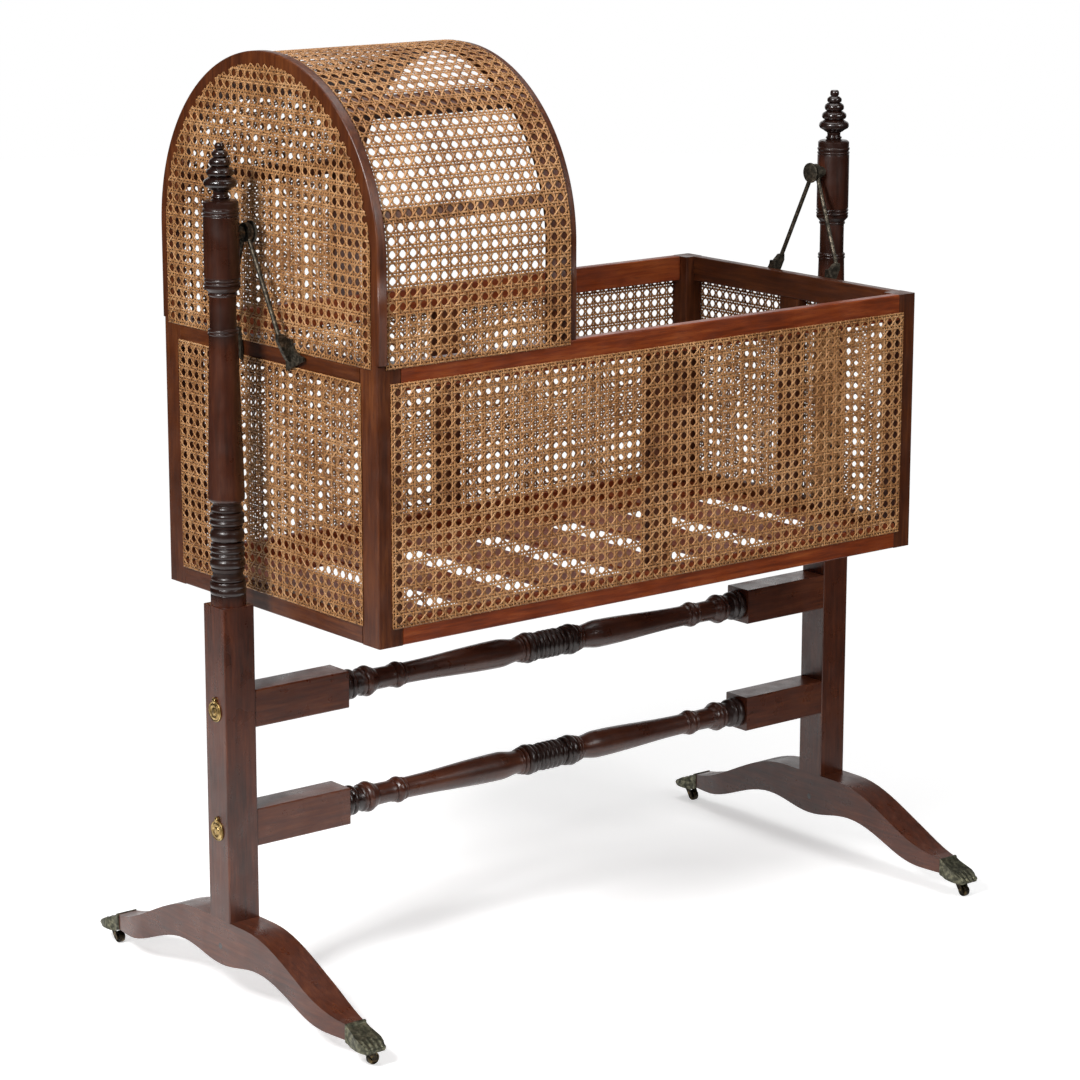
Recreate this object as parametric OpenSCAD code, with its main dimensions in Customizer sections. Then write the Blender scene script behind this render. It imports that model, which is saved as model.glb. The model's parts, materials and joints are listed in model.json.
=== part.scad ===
// Swinging cradle of mahogany and cane, hung between two turned uprights.
// The origin is on the floor under the middle of the stand. +Z is up, +X points to the
// open end and the hood stands over the -X end. The long side at -Y is called the front.

/* [Cradle body] */
// Length of the body over its end frames
body_length = 900; // [760:10:960]
// Width of the body over its side frames
body_width = 466; // [420:2:520]
// Height of the body, from its underside to the top of its top rails
body_height = 350; // [300:5:380]
// Height of the body's underside above the floor
body_lift = 504; // [490:2:530]
// Height of each rail
rail_height = 35; // [31:1:42]
// Thickness of the rails and muntins
rail_thick = 16; // [13:1:20]
// Side of the square stiles at the hood end
hood_stile = 36; // [33:1:42]
// Side of the square stiles at the open end
open_stile = 30; // [28:1:36]
// Rounding of the wood's long edges
edge_round = 2; // [1:0.5:3]
// Width of the muntins behind the cane
muntin_width = 40; // [30:1:50]
// Length of the tenons on rails and muntins
rail_tenon = 12; // [8:1:12]
// Thickness of the tenons on rails and muntins
rail_tenon_thick = 6; // [5:0.5:7]
// Shoulder above and below each tenon
tenon_shoulder = 5; // [3:0.5:7]

/* [Slatted bottom] */
// Width of each bearer strip under the slats
bearer_width = 52; // [35:1:70]
// Thickness of each bearer strip
bearer_thick = 10; // [8:1:14]
// Thickness of the slats
slat_thick = 8; // [6:1:12]
// Width of the wide slats
slat_width = 78; // [60:1:90]
// Distance from one wide slat to the next
slat_pitch = 135; // [110:1:150]
// Width of the narrow slat at each end
end_slat_width = 30; // [20:1:40]
// Gap between the hood end's narrow slat and the first wide one
first_slat_gap = 7.5; // [4:0.5:20]

/* [Cane] */
// Thickness of the woven cane
cane_thick = 2; // [1.5:0.25:3]
// How far the cane laps onto the wood around it
cane_lap = 9; // [6:0.5:10]
// Gaps along each side panel
side_net_cols = 14; // [10:1:14]
// Gaps across each end panel
end_net_cols = 7; // [5:1:7]
// Gaps up each side and end panel
net_rows = 5; // [3:1:5]
// Size of each gap, as a part of its distance from the next
net_open = 0.7; // [0.4:0.02:0.8]
// Rows of gaps round the hood
hood_net_rows = 14; // [8:1:14]
// Columns of gaps along the hood
hood_net_cols = 4; // [3:1:5]

/* [Hood] */
// Depth of the hood along the body
hood_depth = 308; // [260:2:360]
// Height of the hood's straight sides above the body
hood_side = 121; // [90:1:150]
// How far the head hoop stands out past the body's side
hoop_proud = 4; // [3:0.5:8]
// Width of the head hoop, measured across its face
head_hoop_width = 35; // [30:1:42]
// Thickness of the head hoop along the body
head_hoop_thick = 14; // [10:1:18]
// Wood of the head hoop that stays bare outside the cane
head_hoop_bare = 12; // [8:1:16]
// Width of the mouth hoop along the body
mouth_hoop_width = 44; // [30:1:56]
// Thickness of the mouth hoop
mouth_hoop_thick = 9; // [6:0.5:12]
// Thickness of the battens behind the cane
batten_thick = 9; // [6:0.5:12]
// Width of the lower battens
low_batten_width = 18; // [12:1:26]
// Width of the upper battens
high_batten_width = 30; // [20:1:34]
// Angle of the lower battens above the start of the arch
low_batten_angle = 14; // [8:1:24]
// Angle of the upper battens above the start of the arch
high_batten_angle = 50.5; // [42:0.5:62]

/* [Hangers and pins] */
// Height of the swinging axis above the floor
pivot_z = 992; // [975:1:1010]
// Radius of each pivot pin
pin_r = 5; // [4:0.25:6]
// Radius of the round head on each pivot pin
pin_head_r = 14; // [13.5:0.5:17]
// Thickness of that head
pin_head_thick = 4; // [3:0.5:5]
// Gap from the end frame to the pin's head
pin_head_gap = 18; // [14:1:19]
// Depth of the pin in the upright
pin_grip = 30; // [22:1:34]
// Outer radius of the hanger's eye
eye_r = 12; // [10:0.5:13]
// Thickness of the hanger's eye
eye_thick = 7; // [5:0.5:8]
// Radius of the hanger's round legs
leg_r = 3; // [2.5:0.1:3.2]
// Half the spread of the legs where they meet their feet
leg_spread = 57; // [50:1:66]
// Height of the legs' knees above the rail
knee_rise = 14; // [10:1:20]
// Length of each foot of the hanger, from its leg to its toe
hanger_foot = 30; // [28:1:36]
// Thickness of the hanger's feet
hanger_foot_thick = 3.2; // [2.5:0.1:4.5]
// How far the legs' lower ends stand off the rail
leg_stand = 20; // [14:1:21]
// Thickness of the bracket between leg and foot
bracket_thick = 7; // [6.75:0.25:8]
// Radius of the screws through the hanger's feet
screw_r = 1.8; // [1.5:0.1:2.2]

/* [Uprights and feet] */
// Distance from each end of the body to the middle of its upright
post_gap = 64; // [62:0.5:70]
// Side of the square lower part of each upright
post_square = 46; // [44:1:50]
// Height of the shoulder where the turning starts
square_top = 526; // [500:2:560]
// Radius of the turned block round the pivot
block_r = 22.3; // [20:0.1:24]
// Height of the turned block below the pivot
block_below = 66; // [55:1:80]
// Height of the turned block above the pivot
block_above = 42.6; // [38:0.2:52]
// Radius at the bottom of the tapered column
column_low_r = 23; // [20:0.5:25]
// Radius at the top of the tapered column
column_top_r = 18; // [15:0.5:20]
// Height of the finial above its upright
finial_height = 70; // [60:1:84]
// Largest radius of the finial
finial_r = 21; // [17:0.5:24]
// Radius of the finial's spigot
spigot_r = 7; // [5:0.25:8]
// Length of the finial's spigot
spigot_length = 24; // [15:1:26]
// Height of the feet under the uprights
foot_height = 114.5; // [108:0.5:130]
// Half length of the wood of each foot
foot_reach = 260; // [240:1:280]
// Height of the middle of the foot's underside
foot_drop = 54; // [46:1:58]
// Height of the two humps in the foot's underside
foot_hump = 65; // [60:1:70]
// Width of the foot where it goes into its cap
foot_end_width = 27; // [24:1:32]
// Length over which each end of the foot tapers
foot_taper = 72; // [50:2:90]
// Side of the tenon under each upright
post_tenon = 24; // [20:1:28]
// Depth of that tenon in the foot
post_tenon_depth = 46; // [38:1:48]
// Radius of the peg through that tenon
peg_r = 4; // [3:0.25:5]

/* [Stretchers] */
// Height of the upper stretcher's middle
upper_stretcher_z = 390; // [350:1:410]
// Height of the lower stretcher's middle
lower_stretcher_z = 233; // [190:1:270]
// Length of each square end block
stretcher_block = 145; // [120:1:170]
// Height of each square end block
stretcher_block_h = 49; // [42:1:56]
// Depth of each square end block
stretcher_block_d = 44; // [38:1:44]
// Largest radius of the rings on the turning
stretcher_ring_r = 20.5; // [17:0.25:22]
// Largest radius of the swelling spindle
spindle_r = 19; // [16:0.25:21]
// Smallest radius of the spindle
spindle_neck_r = 14; // [11:0.25:15]
// Length of the stub tenons on the stretchers
stub_length = 12; // [8:1:14]
// Thickness of the stub tenons
stub_thick = 20; // [16:1:26]

/* [Bed bolts and covers] */
// Radius of the bed bolts
bolt_r = 5; // [4:0.25:5.5]
// Length of each bed bolt's shank
bolt_length = 86; // [80:1:120]
// Half diagonal of the bolts' square heads
bolt_head_r = 9; // [8:0.25:9.5]
// Depth of the round recess that takes the head
bolt_recess = 11; // [9:0.5:14]
// Side of the square nuts
nut_side = 18; // [15:0.5:20]
// Thickness of the nuts
nut_thick = 8; // [6:0.5:10]
// Distance from the upright's inner face to the nut
nut_seat = 30; // [24:1:34]
// Radius of the round brass cover
cover_r = 13.5; // [12:0.25:14]
// Thickness of the brass cover
cover_thick = 3; // [2.6:0.2:4]
// Height of the cover's pin above the bolt
cover_pin_rise = 14; // [13.5:0.25:16]
// Radius of the cover's pin
cover_pin_r = 2; // [1.6:0.1:2.2]
// Depth of the cover's pin in the upright
cover_pin_grip = 8.5; // [6:0.5:12]
// Radius of the cover's lug
cover_lug_r = 4.5; // [4:0.25:5]
// Thickness of the cover's lug
cover_lug_thick = 2; // [1.6:0.1:2.2]

/* [Caps and castors] */
// Length of each paw cap along the foot
cap_length = 47; // [44:0.5:50]
// Width of each paw cap across its toes
cap_width = 34; // [32:0.5:38]
// Height of the cap's flat underside above the floor
cap_under = 21; // [20:0.25:22.5]
// Wall of the cap beside the wooden tongue
cap_wall = 4.5; // [3.5:0.25:5.5]
// How far each castor's stem stands in from the cap's tip
stem_back = 19; // [17:0.5:21]
// Radius of the castor's stem
stem_r = 3.5; // [3:0.25:4]
// How far the stem rises above the cap's underside
stem_rise = 9; // [7:0.25:9.5]
// Radius of the castor wheel
wheel_r = 8; // [7:0.25:8.5]
// Width of the castor wheel
wheel_width = 8; // [6:0.5:8.5]
// How far the wheel trails behind its stem
wheel_trail = 7; // [6:0.25:7.5]
// Radius of the wheel's axle
axle_r = 2; // [1.6:0.1:2.4]
// Thickness of the horn's plate and cheeks
horn_thick = 2; // [1.5:0.25:2.25]
// Radius of the horn's plate
horn_plate_r = 7.5; // [7:0.25:8]

/* [Fits] */
// Radial clearance of pieces that turn on each other
run_clear = 0.06; // [0.02:0.01:0.1]
// Clearance between faces that pass each other
face_gap = 0.3; // [0.2:0.05:0.5]
// Clearance round tenons, bolts and pegs
joint_clear = 0.1; // [0.05:0.05:0.2]

/* [Hidden] */
$fn = 64;
cut = 1; // how far a cutting solid runs past a face, or a joined one into its neighbour

half_l = body_length / 2;
half_w = body_width / 2;
body_top = body_lift + body_height;
side_in = half_w - rail_thick; // inner face of the side rails
end_in = half_l - rail_thick; // inner face of the end rails
top_rail_z = body_top - rail_height;
tenon_in = (rail_thick - rail_tenon_thick) / 2;
slat_z = body_lift + bearer_thick;
bare_low_z = body_lift + rail_height - cane_lap; // the side cane runs from here
bare_top_z = top_rail_z + cane_lap; // to here

spring_z = body_top + hood_side; // the height where the hood's arch starts
hood_foot_z = body_top - cane_lap; // lower edge of the hood's cane
mouth_x = -half_l + hood_depth;
head_x = -half_l + head_hoop_thick; // inner face of the head hoop
hoop_out_r = half_w + hoop_proud;
hoop_in_r = hoop_out_r - head_hoop_width;
cover_in_r = half_w + face_gap / 2;
cover_out_r = cover_in_r + cane_thick;

post_x = half_l + post_gap;
post_half = post_square / 2;
post_in = post_x - post_half;
post_out = post_x + post_half;
block_low = pivot_z - block_below;
block_top = pivot_z + block_above;

head_in = half_l + pin_head_gap; // inner face of the pivot pin's head
head_out = head_in + pin_head_thick;
collar_r = pin_r + 2.6;
collar_length = 9;
collar_seat = post_x - block_r + 1.5; // floor of the collar's recess in the upright
collar_in = collar_seat - collar_length;
eye_x = (head_out + collar_in) / 2;

hanger_skin = cane_thick + face_gap; // the feet stand clear of the cane
plate_out = half_l + hanger_skin + hanger_foot_thick;
knee_z = body_top + knee_rise;
screw_z = hood_foot_z - 5; // the screws go into the bare strip of rail
plate_low = screw_z - 17;
plate_top = knee_z - 4;
screw_ys = [leg_spread + 8, leg_spread + hanger_foot - 12];
screw_grip = rail_thick - 4;
screw_head_r = screw_r + 1.6;
screw_boss_r = 4; // the foot reaches through to the rail round each screw

foot_crown = post_half + 33; // half width of the flat under the upright
foot_sweep = foot_reach + 15; // where the curve of the foot's back would come level
ankle_low = cap_under + 6;
ankle_top = cap_under + 26;
peg_z = foot_height - post_tenon_depth + peg_r + 6;
cap_tip = foot_reach + cap_length;
stem_y = cap_tip - stem_back;
collar_width = foot_end_width + 2; // the cap's collar stands 1 proud of the wood
tongue_width = foot_end_width - 2 * cap_wall;
tongue_low = cap_under + 8;
tongue_top = ankle_top - 4;
tongue_end = stem_y - stem_r - 5;
tongue_end_top = tongue_top - 8;
toe_pitch = cap_width / 4.5;
toe_r = toe_pitch * 0.52;
// Degrees that each castor is turned at rest, [hood end, open end] of the front and of the
// back; at 0 its wheel trails towards the middle of the foot.
castor_turns = [[-90, 180], [0, 0]];

axle_z = wheel_r;
horn_top = cap_under - face_gap;
cheek_in = wheel_width / 2 + 0.6;
axle_boss_r = axle_r + 1.6;

stretcher_zs = [lower_stretcher_z, upper_stretcher_z];
stub_height = stretcher_block_h - 13; // a shoulder of 6.5 above and below
turned_half = post_in - stretcher_block; // half length of a stretcher's turned middle
bolt_head_x = post_out - bolt_recess;
bolt_head_thick = 7;
nut_x = post_in - nut_seat - nut_thick;

mahogany = "#5a2a1f";
red_mahogany = "#7d3a26";
dark_turning = "#3a1b14";
cane_gold = "#b98d5a";
iron = "#35322f";
old_brass = "#a08a5c";
bronze = "#5f5e4c";

// ---- shared shapes ----

// Points from p to q whose second value follows half a cosine wave.
function ease(p, q, n = 8) = [for (i = [0 : n])
    [p[0] + (q[0] - p[0]) * i / n, p[1] + (q[1] - p[1]) * (1 - cos(180 * i / n)) / 2]];

// Points from p to q whose second value leaves p gently and reaches q steeply.
function droop(p, q, n = 8) = [for (i = [0 : n])
    [p[0] + (q[0] - p[0]) * i / n, p[1] + (q[1] - p[1]) * (1 - cos(90 * i / n))]];

// Profile points [radius, height] of a rounded ring between two heights.
function ring(z0, z1, low, high, n = 6) = [for (i = [0 : n])
    [low + (high - low) * sqrt(sin(180 * i / n)), z0 + (z1 - z0) * i / n]];

// Like ease, for profile points [radius, height]; p and q are given as [height, radius].
function ease_up(p, q, n = 6) = [for (p = ease(p, q, n)) [p[1], p[0]]];

function reverse(points) = [for (i = [len(points) - 1 : -1 : 0]) points[i]];

// Drops each point that lies on the one before it.
function distinct(points) = [for (i = [0 : len(points) - 1])
    if (i == 0 || norm(points[i] - points[i - 1]) > 0.02) points[i]];

// Draws its children at the open end (1) or mirrored to the hood end (-1).
module at_end(end) {
    if (end > 0) children();
    else mirror([1, 0, 0]) children();
}

// Draws its children at the back (1) or mirrored to the front (-1).
module at_side(side) {
    if (side > 0) children();
    else mirror([0, 1, 0]) children();
}

// Stands a drawing made in Y and Z up and pushes it along +X.
module along_x(length) {
    rotate([90, 0, 90]) linear_extrude(length) children();
}

// Stands a drawing made in X and Z up and pushes it along +Y.
module along_y(length) {
    translate([0, length, 0]) rotate([90, 0, 0]) linear_extrude(length) children();
}

// Turns what stands on the XY plane so that its height runs along +X.
module facing_x() {
    rotate([0, 90, 0]) children();
}

// A rectangle with rounded corners.
module rounded(w, h, r = edge_round) {
    corners = [[w - r, r, -90], [w - r, h - r, 0], [r, h - r, 90], [r, r, 180]];
    polygon([for (c = corners, a = [0 : 30 : 90]) [c[0] + r * cos(c[2] + a), c[1] + r * sin(c[2] + a)]]);
}

// A box centred on X and Y that stands on z0, widened by grow on every side.
module post_box(size, z0, grow = 0) {
    translate([-size[0] / 2 - grow, -size[1] / 2 - grow, z0 - grow])
        cube([size[0] + 2 * grow, size[1] + 2 * grow, size[2] + 2 * grow]);
}

// A round bar with round ends between two points.
module bar(p, q, r) {
    d = q - p;
    translate(p) rotate([0, acos(d[2] / norm(d)), atan2(d[1], d[0])]) cylinder(r = r, h = norm(d));
    translate(p) sphere(r);
    translate(q) sphere(r);
}

// ---- feet ----

foot_top = [for (i = [0 : 15]) let (y = foot_crown + (foot_reach - foot_crown) * i / 15)
    [y, foot_height - (foot_height - ankle_top)
        * (1 - cos(180 * (y - foot_crown) / (foot_sweep - foot_crown))) / 2]];
foot_under = distinct(concat(
    ease([0, foot_drop], [foot_reach * 0.32, foot_hump], 8),
    ease([foot_reach * 0.32, foot_hump], [foot_reach - 27, ankle_low + 1], 12),
    [[foot_reach, ankle_low]]));

// The foot from above: [half width, distance from its middle] along one tapering end.
foot_plan = [for (i = [0 : 6]) let (t = i / 6)
    [post_half - (post_square - foot_end_width) / 2 * pow(t, 1.6),
        foot_reach - foot_taper * (1 - t)]];

// The side view of both halves of the foot, in order round the shape.
module foot_outline() {
    polygon(concat(
        [for (p = reverse(foot_top)) [-p[0], p[1]]], foot_top, reverse(foot_under),
        [for (i = [1 : len(foot_under) - 1]) [-foot_under[i][0], foot_under[i][1]]]));
}

// The wooden tongue that fills the cap, drawn in Y and Z.
module tongue_outline(grow = 0) {
    polygon([
        [foot_reach - cut, tongue_low - grow], [tongue_end + grow, tongue_low - grow],
        [tongue_end + grow, tongue_end_top + grow], [foot_reach - cut, tongue_top + grow]]);
}

module post_tenon_box(grow = 0) {
    post_box([post_tenon, post_tenon, post_tenon_depth + cut], foot_height - post_tenon_depth, grow);
}

module peg_bore() {
    translate([-post_half - cut, 0, peg_z]) facing_x()
        cylinder(r = peg_r + joint_clear / 2, h = post_square + 2 * cut);
}

module foot_plan_outline() {
    polygon(concat(foot_plan, [for (p = reverse(foot_plan)) [-p[0], p[1]]],
        [for (p = foot_plan) [-p[0], -p[1]]], [for (p = reverse(foot_plan)) [p[0], -p[1]]]));
}

module foot(end) {
    color(mahogany) at_end(end) translate([post_x, 0, 0]) difference() {
        union() {
            intersection() {
                translate([-post_half, 0, 0]) along_x(post_square) foot_outline();
                linear_extrude(foot_height) foot_plan_outline();
            }
            for (side = [-1, 1]) at_side(side)
                translate([-tongue_width / 2, 0, 0]) along_x(tongue_width) tongue_outline();
        }
        post_tenon_box(joint_clear);
        peg_bore();
    }
}

module foot_dowels() {
    color(mahogany) for (end = [-1, 1]) at_end(end)
        translate([post_in, 0, peg_z]) facing_x() cylinder(r = peg_r, h = post_square);
}

// ---- uprights and finials ----

// Turning above the shoulder: [radius as a part of half the square, height above the shoulder].
low_turning = concat(
    [[0.97, -cut], [0.97, 13.6]], ring(14.2, 22.6, 0.95, 1, 5), ring(22.9, 30.2, 0.95, 0.99, 5),
    ring(30.6, 37.2, 0.85, 0.92, 4), ease_up([37.8, 0.82], [43, 0.82], 2),
    [[0.9, 43.6], [0.92, 47.6]], ring(48.2, 60, 0.86, 0.97, 6), ring(60.8, 67.2, 0.88, 0.96, 4),
    ring(67.6, 73.8, 0.88, 0.96, 4), ring(74.4, 80.2, 0.86, 0.93, 4),
    ring(81, 98.4, 0.76, 0.94, 8), ring(99, 102.4, 0.8, 0.86, 3),
    ring(103, 109.6, 0.86, 0.95, 4), ring(110.2, 118.4, 0.86, 0.95, 5),
    ring(119, 127, 0.78, 0.87, 5), [[0.76, 127.6], [0.76, 130]],
    ease_up([130, 0.78], [135, 0.98], 4));
low_turning_height = 138;
collar_z = block_low - 54; // the thin double ring on the column

upright_profile = distinct(concat(
    [[0, square_top - cut]],
    [for (p = low_turning) [p[0] * post_half, p[1] + square_top]],
    [[column_low_r, square_top + low_turning_height]],
    ring(collar_z - 4, collar_z, column_top_r, column_top_r + 1.2, 4),
    ring(collar_z, collar_z + 4, column_top_r, column_top_r + 1.2, 4),
    [[column_top_r - 1.2, collar_z + 5], [column_top_r - 1.2, block_low - 10]],
    ring(block_low - 9, block_low - 5, column_top_r - 0.8, column_top_r + 0.4, 4),
    [[block_r - 0.6, block_low], [block_r, block_low + 1.5], [block_r, block_low + 4]],
    ring(block_low + 4.5, block_low + 8.5, block_r - 1, block_r + 0.4, 4),
    ring(block_low + 9, block_low + 13, block_r - 1, block_r + 0.4, 4),
    [[block_r, block_low + 14], [block_r, block_top - 20]],
    ring(block_top - 19, block_top - 15, block_r - 1, block_r + 0.4, 4),
    ring(block_top - 14, block_top - 9, block_r - 1, block_r + 0.4, 4),
    [[block_r - 0.6, block_top - 8], [block_r - 0.6, block_top - 2]],
    [[block_r - 3, block_top], [0, block_top]]));

// What the bed bolt, its head and its cover's pin need in the upright, at the bolt's height.
module upright_bolt_bores() {
    facing_x() {
        translate([0, 0, post_in - cut]) cylinder(r = bolt_r + joint_clear, h = post_square);
        translate([0, 0, bolt_head_x]) cylinder(r = bolt_head_r + 0.4, h = bolt_recess + cut);
    }
    translate([post_out - cover_pin_grip - joint_clear, 0, cover_pin_rise]) facing_x()
        cylinder(r = cover_pin_r + joint_clear / 2, h = cover_pin_grip + cut);
}

module stub(grow = 0) {
    translate([post_in - cut, -stub_thick / 2 - grow, -stub_height / 2 - grow])
        cube([stub_length + cut + grow, stub_thick + 2 * grow, stub_height + 2 * grow]);
}

module upright(end) {
    color(mahogany) at_end(end) difference() {
        union() {
            translate([post_in, -post_half, foot_height])
                linear_extrude(square_top - foot_height) rounded(post_square, post_square);
            translate([post_x, 0, 0]) post_tenon_box();
            translate([post_x, 0, 0]) rotate_extrude() polygon(upright_profile);
        }
        translate([post_x, 0, 0]) peg_bore();
        translate([post_x, 0, block_top - spigot_length - joint_clear])
            cylinder(r = spigot_r + joint_clear / 2, h = spigot_length + cut);
        translate([post_x - block_r - cut, 0, pivot_z]) facing_x() {
            cylinder(r = collar_r + joint_clear, h = collar_seat - post_x + block_r + cut);
            cylinder(r = pin_r + joint_clear / 2, h = pin_grip + cut);
        }
        for (z = stretcher_zs) translate([0, 0, z]) {
            stub(joint_clear);
            upright_bolt_bores();
        }
    }
}

// One disc of the finial: [low end, top end, radius, waist], parts of the height and of the
// largest radius.
finial_discs = [
    [0.215, 0.395, 1, 0.74], [0.415, 0.57, 0.82, 0.62],
    [0.59, 0.735, 0.65, 0.5], [0.75, 0.865, 0.49, 0.36]];

finial_profile = concat(
    [[0.6, 0], [0.52, 0.025]], ring(0.03, 0.085, 0.46, 0.54, 4), [[0.44, 0.1], [0.44, 0.15]],
    ease_up([0.15, 0.44], [0.2, 0.66], 4),
    [for (d = finial_discs) each concat(ring(d[0], d[1], d[3], d[2]), [[d[3] - 0.03, d[1] + 0.01]])],
    ring(0.88, 1, 0.22, 0.3, 6), [[0, 1]]);

// A turned beehive of four discs that shrink towards a small button.
module finial(end) {
    color(dark_turning) at_end(end) translate([post_x, 0, block_top]) rotate_extrude()
        polygon(distinct(concat(
            [[0, -spigot_length], [spigot_r, -spigot_length], [spigot_r, 0]],
            [for (p = finial_profile) [p[0] * finial_r, p[1] * finial_height]])));
}

// ---- stretchers and their bolts ----

// Half profile of a stretcher's turning from near its middle outwards: [radius, distance].
function out(distance) = turned_half - distance; // measured back from the square block
half_turning = concat(
    [[spindle_r - 2, 0]],
    ring(0.4, 7.6, spindle_r - 2, spindle_r + 0.4, 4),
    ring(8, 15.4, spindle_r - 2, spindle_r + 0.4, 4),
    ring(15.8, 21, spindle_r - 2.6, spindle_r - 0.6, 4),
    [[spindle_neck_r + 1.6, 21.6], [spindle_neck_r + 1.6, 24.4]],
    ring(25, 31.4, stretcher_ring_r - 2.6, stretcher_ring_r - 0.6, 4),
    ring(31.8, 42.4, stretcher_ring_r - 2, stretcher_ring_r + 0.6, 5),
    ring(42.8, 48.6, stretcher_ring_r - 3.4, stretcher_ring_r - 1.4, 4),
    ring(49, 54, stretcher_ring_r - 4.6, stretcher_ring_r - 3, 4),
    ease_up([55, spindle_neck_r + 1.4], [86, spindle_r], 8),
    ease_up([86, spindle_r], [out(103), spindle_neck_r], 12),
    ring(out(102), out(98), spindle_neck_r, spindle_neck_r + 1.2, 3),
    ring(out(97), out(85), spindle_neck_r, spindle_neck_r + 3.6, 5),
    ring(out(84), out(80), spindle_neck_r, spindle_neck_r + 1.2, 3),
    [[spindle_neck_r + 0.4, out(54)]],
    ease_up([out(53), spindle_neck_r + 1.6], [out(47), spindle_neck_r + 4], 3),
    ring(out(46), out(36), spindle_neck_r + 4, stretcher_ring_r, 5),
    ring(out(35.5), out(29), spindle_neck_r + 3, stretcher_ring_r - 2, 4),
    [[spindle_neck_r + 2, out(28)], [spindle_neck_r + 2, out(20)]],
    ring(out(19), out(11), spindle_neck_r + 3.5, stretcher_ring_r - 0.6, 5),
    ring(out(10.5), out(0.5), spindle_neck_r + 4.5, stretcher_ring_r + 0.5, 5),
    [[spindle_neck_r + 4, out(-cut)], [0, out(-cut)]]);

module stretcher(z) {
    color(mahogany) translate([0, 0, z]) difference() {
        union() {
            facing_x() rotate_extrude()
                polygon(distinct(concat([for (p = reverse(half_turning)) [p[0], -p[1]]], half_turning)));
            for (end = [-1, 1]) at_end(end) {
                translate([turned_half, -stretcher_block_d / 2, -stretcher_block_h / 2])
                    along_x(stretcher_block) rounded(stretcher_block_d, stretcher_block_h);
                stub();
            }
        }
        for (end = [-1, 1]) at_end(end) {
            translate([bolt_head_x - bolt_length - 2, 0, 0]) facing_x()
                cylinder(r = bolt_r + joint_clear, h = bolt_length + 2);
            nut_pocket();
        }
    }
}

// A slot from below, just wider than the nut.
module nut_pocket() {
    side = nut_side + 2 * joint_clear;
    translate([nut_x - joint_clear, -side / 2, -stretcher_block_h / 2 - cut])
        cube([nut_thick + 2 * joint_clear, side, stretcher_block_h / 2 + cut + side / 2]);
}

module each_bolt() {
    for (end = [-1, 1], z = stretcher_zs) at_end(end) translate([0, 0, z]) children();
}

module bed_bolts() {
    color(iron) each_bolt() translate([bolt_head_x, 0, 0]) facing_x() {
        translate([0, 0, -bolt_length]) cylinder(r = bolt_r, h = bolt_length + cut);
        cylinder(r = bolt_head_r, h = bolt_head_thick, $fn = 4);
    }
}

module bed_nuts() {
    color(iron) each_bolt() translate([nut_x, 0, 0]) difference() {
        translate([0, -nut_side / 2, -nut_side / 2]) cube([nut_thick, nut_side, nut_side]);
        translate([-cut, 0, 0]) facing_x() cylinder(r = bolt_r + joint_clear / 2, h = nut_thick + 2 * cut);
    }
}

// A round pin with a mushroom head that holds the cover's lug.
module cover_pins() {
    lug_out = 2 * face_gap + cover_lug_thick;
    head_r = cover_lug_r - 1;
    color(old_brass) each_bolt() translate([post_out, 0, cover_pin_rise]) facing_x() {
        translate([0, 0, -cover_pin_grip]) cylinder(r = cover_pin_r, h = cover_pin_grip + lug_out + 0.5);
        translate([0, 0, lug_out]) rotate_extrude()
            polygon([[0, 0], [head_r, 0], [head_r - 0.3, 0.7], [head_r - 1.4, 1.3], [0, 1.5]]);
    }
}

// The cover's face: [radius as a part of the cover's, height as a part of its thickness].
cover_face = [
    [0, 0], [1, 0], [1, 0.35], [0.93, 0.62], [0.84, 0.5], [0.78, 0.5], [0.7, 0.85],
    [0.56, 0.85], [0.5, 0.6], [0.36, 0.6], [0.3, 0.9], [0.14, 1], [0, 1]];

// A round cover with stepped rings that hangs from a pin by its lug.
module bolt_cover(end, z) {
    neck_z = cover_r * 0.6;
    face = [for (p = cover_face) [p[0] * cover_r, p[1] * cover_thick]];
    color(old_brass) at_end(end) translate([post_out + face_gap, 0, z]) difference() {
        union() {
            facing_x() rotate_extrude() polygon(face);
            translate([0, 0, cover_pin_rise]) facing_x() cylinder(r = cover_lug_r, h = cover_lug_thick);
            translate([0, -cover_lug_r, neck_z])
                cube([cover_lug_thick * 0.75, 2 * cover_lug_r, cover_pin_rise - neck_z]);
        }
        translate([-cut, 0, cover_pin_rise]) facing_x()
            cylinder(r = cover_pin_r + run_clear, h = cover_lug_thick + 2 * cut);
    }
}

// ---- paw caps and castors ----

// The paw's back, from its collar to its tip: [part of the cap's length, part of its height].
paw_back = [
    [0.15, 0.88], [0.3, 0.76], [0.5, 0.62], [0.68, 0.52],
    [0.82, 0.4], [0.92, 0.27], [0.98, 0.14], [1, 0.04]];

// Side view of the paw in Y and Z: a beaded collar, a sloping back and a blunt tip.
module cap_outline() {
    rise = ankle_top + 1 - cap_under;
    polygon(concat(
        [[cap_tip - 2, cap_under], [foot_reach + 12, cap_under], [foot_reach, ankle_low - 1]],
        [[foot_reach, ankle_top + 1], [foot_reach + 1.5, ankle_top + 1.8]],
        [[foot_reach + 4.5, ankle_top + 0.8], [foot_reach + 5.5, ankle_top - 1.4]],
        [for (p = paw_back) [foot_reach + p[0] * cap_length, cap_under + p[1] * rise]]));
}

// The paw from above, [half width, distance along the foot]: the collar's bead, then the paw that
// widens towards its toes.
cap_plan = concat(
    [[collar_width / 2, foot_reach], [collar_width / 2 + 0.8, foot_reach + 1.5]],
    [[collar_width / 2 + 0.8, foot_reach + 4], [collar_width / 2, foot_reach + 5.5]],
    ease_up([foot_reach + 8, collar_width / 2], [cap_tip - 18, cap_width / 2], 5),
    [[cap_width / 2, cap_tip - 14], [cap_width / 2 - 1, cap_tip - 8]],
    [[cap_width / 2 - 3, cap_tip - 3], [cap_width / 2 - 5, cap_tip + cut]]);

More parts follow.
